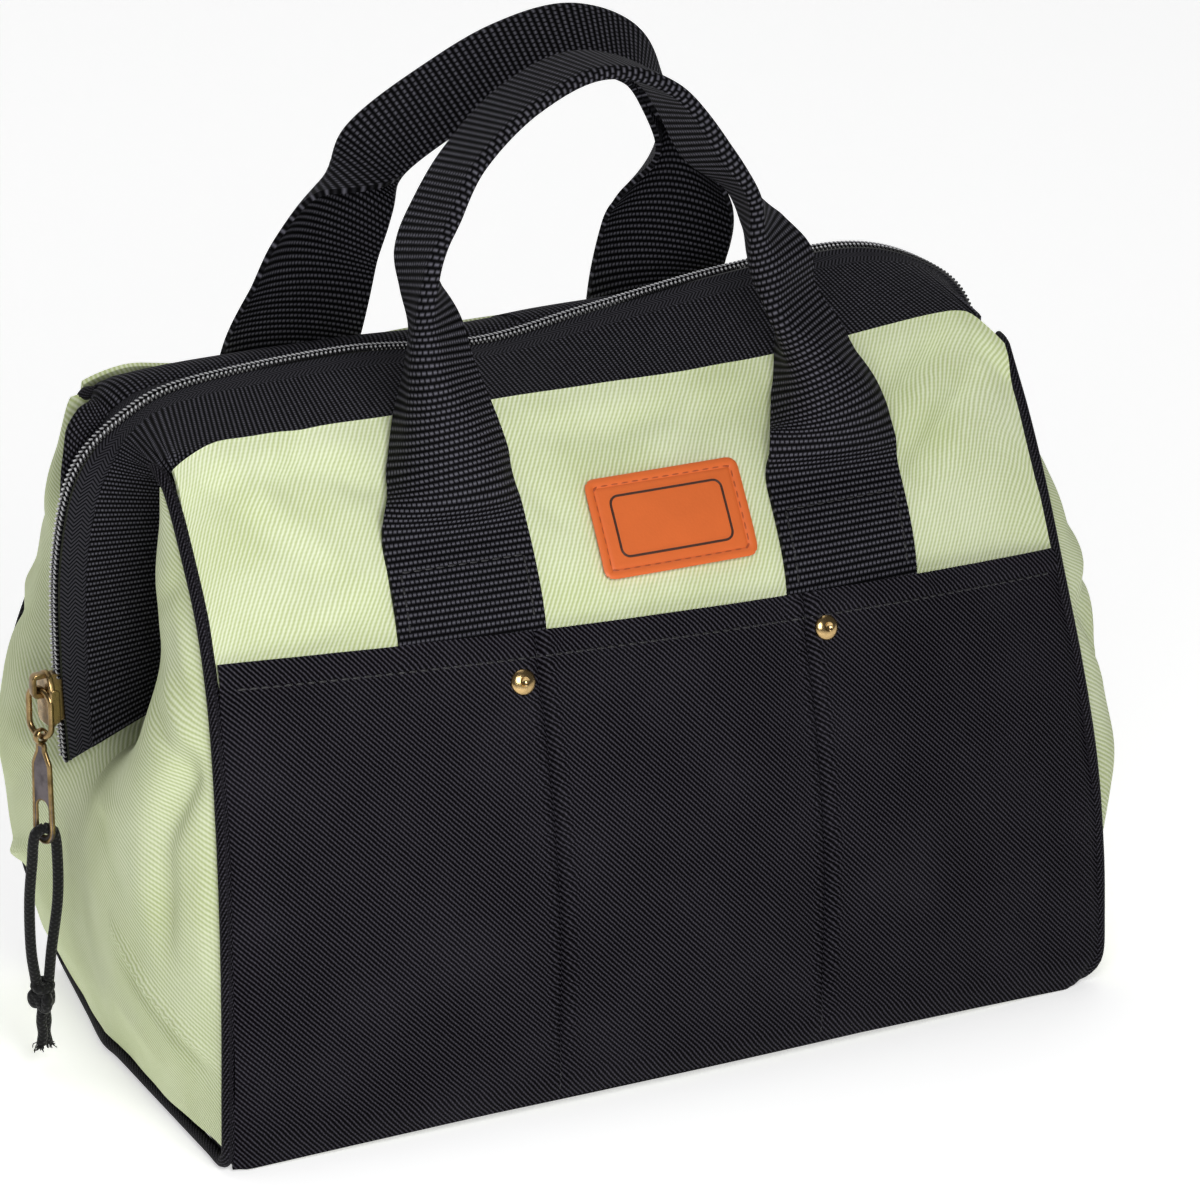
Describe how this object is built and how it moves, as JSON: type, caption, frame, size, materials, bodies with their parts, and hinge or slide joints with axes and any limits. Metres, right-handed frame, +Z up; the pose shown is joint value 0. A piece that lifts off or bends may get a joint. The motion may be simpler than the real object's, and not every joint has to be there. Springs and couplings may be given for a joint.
{
  "type": "electrician tool bag",
  "caption": "Wide-mouth zip-top tool bag of light green twill with black front and rear pockets, piped edges, folded webbing handles and a zip pull with a knotted cord.",
  "frame": {"origin": "on the floor, under the middle of the base", "axes": "+X along the bag from the zip pull's end, -Y towards the front pocket, +Z up"},
  "size_m": [0.35, 0.1975, 0.3062],
  "materials": {
    "green_twill": "twill polyester",
    "black_twill": "twill polyester",
    "black_piping": "covered cord piping",
    "black_webbing": "woven polypropylene webbing",
    "zip_tape": "woven tape",
    "zip_coil": "moulded coil",
    "aged_brass": "antique plated",
    "black_cord": "braided",
    "orange_patch": "embossed"
  },
  "bodies": {
    "bag": {"front_panel": "green_twill", "rear_panel": "green_twill", "gusset_left": "green_twill", "gusset_right": "green_twill", "front_pocket": "black_twill", "rear_pocket": "black_twill", "base": "black_twill", "piping_left": "black_piping", "piping_right": "black_piping", "mouth_band_front": "black_webbing", "mouth_band_rear": "black_webbing", "handle_front": "black_webbing", "handle_rear": "black_webbing", "zip_tape_front": "zip_tape", "zip_tape_rear": "zip_tape", "zip_coil": "zip_coil", "zip_end": "zip_coil", "zip_slider": "aged_brass", "rivet_left": "aged_brass", "rivet_right": "aged_brass", "patch": "orange_patch"},
    "pull_ring": {"zip_ring": "aged_brass"},
    "pull_tab": {"zip_tab": "aged_brass", "pull_cord": "black_cord", "cord_knot": "black_cord"}
  },
  "joints": [
    {"name": "ring_swing", "type": "hinge", "parent": "bag", "child": "pull_ring", "pos_m": [-0.168, 0.014, 0.1235], "axis": [0, 1, 0], "range_deg": [0, 110]},
    {"name": "tab_swing", "type": "hinge", "parent": "pull_ring", "child": "pull_tab", "pos_m": [-0.168, 0.014, 0.1083], "axis": [0, 1, 0], "range_deg": [0, 70]}
  ]
}
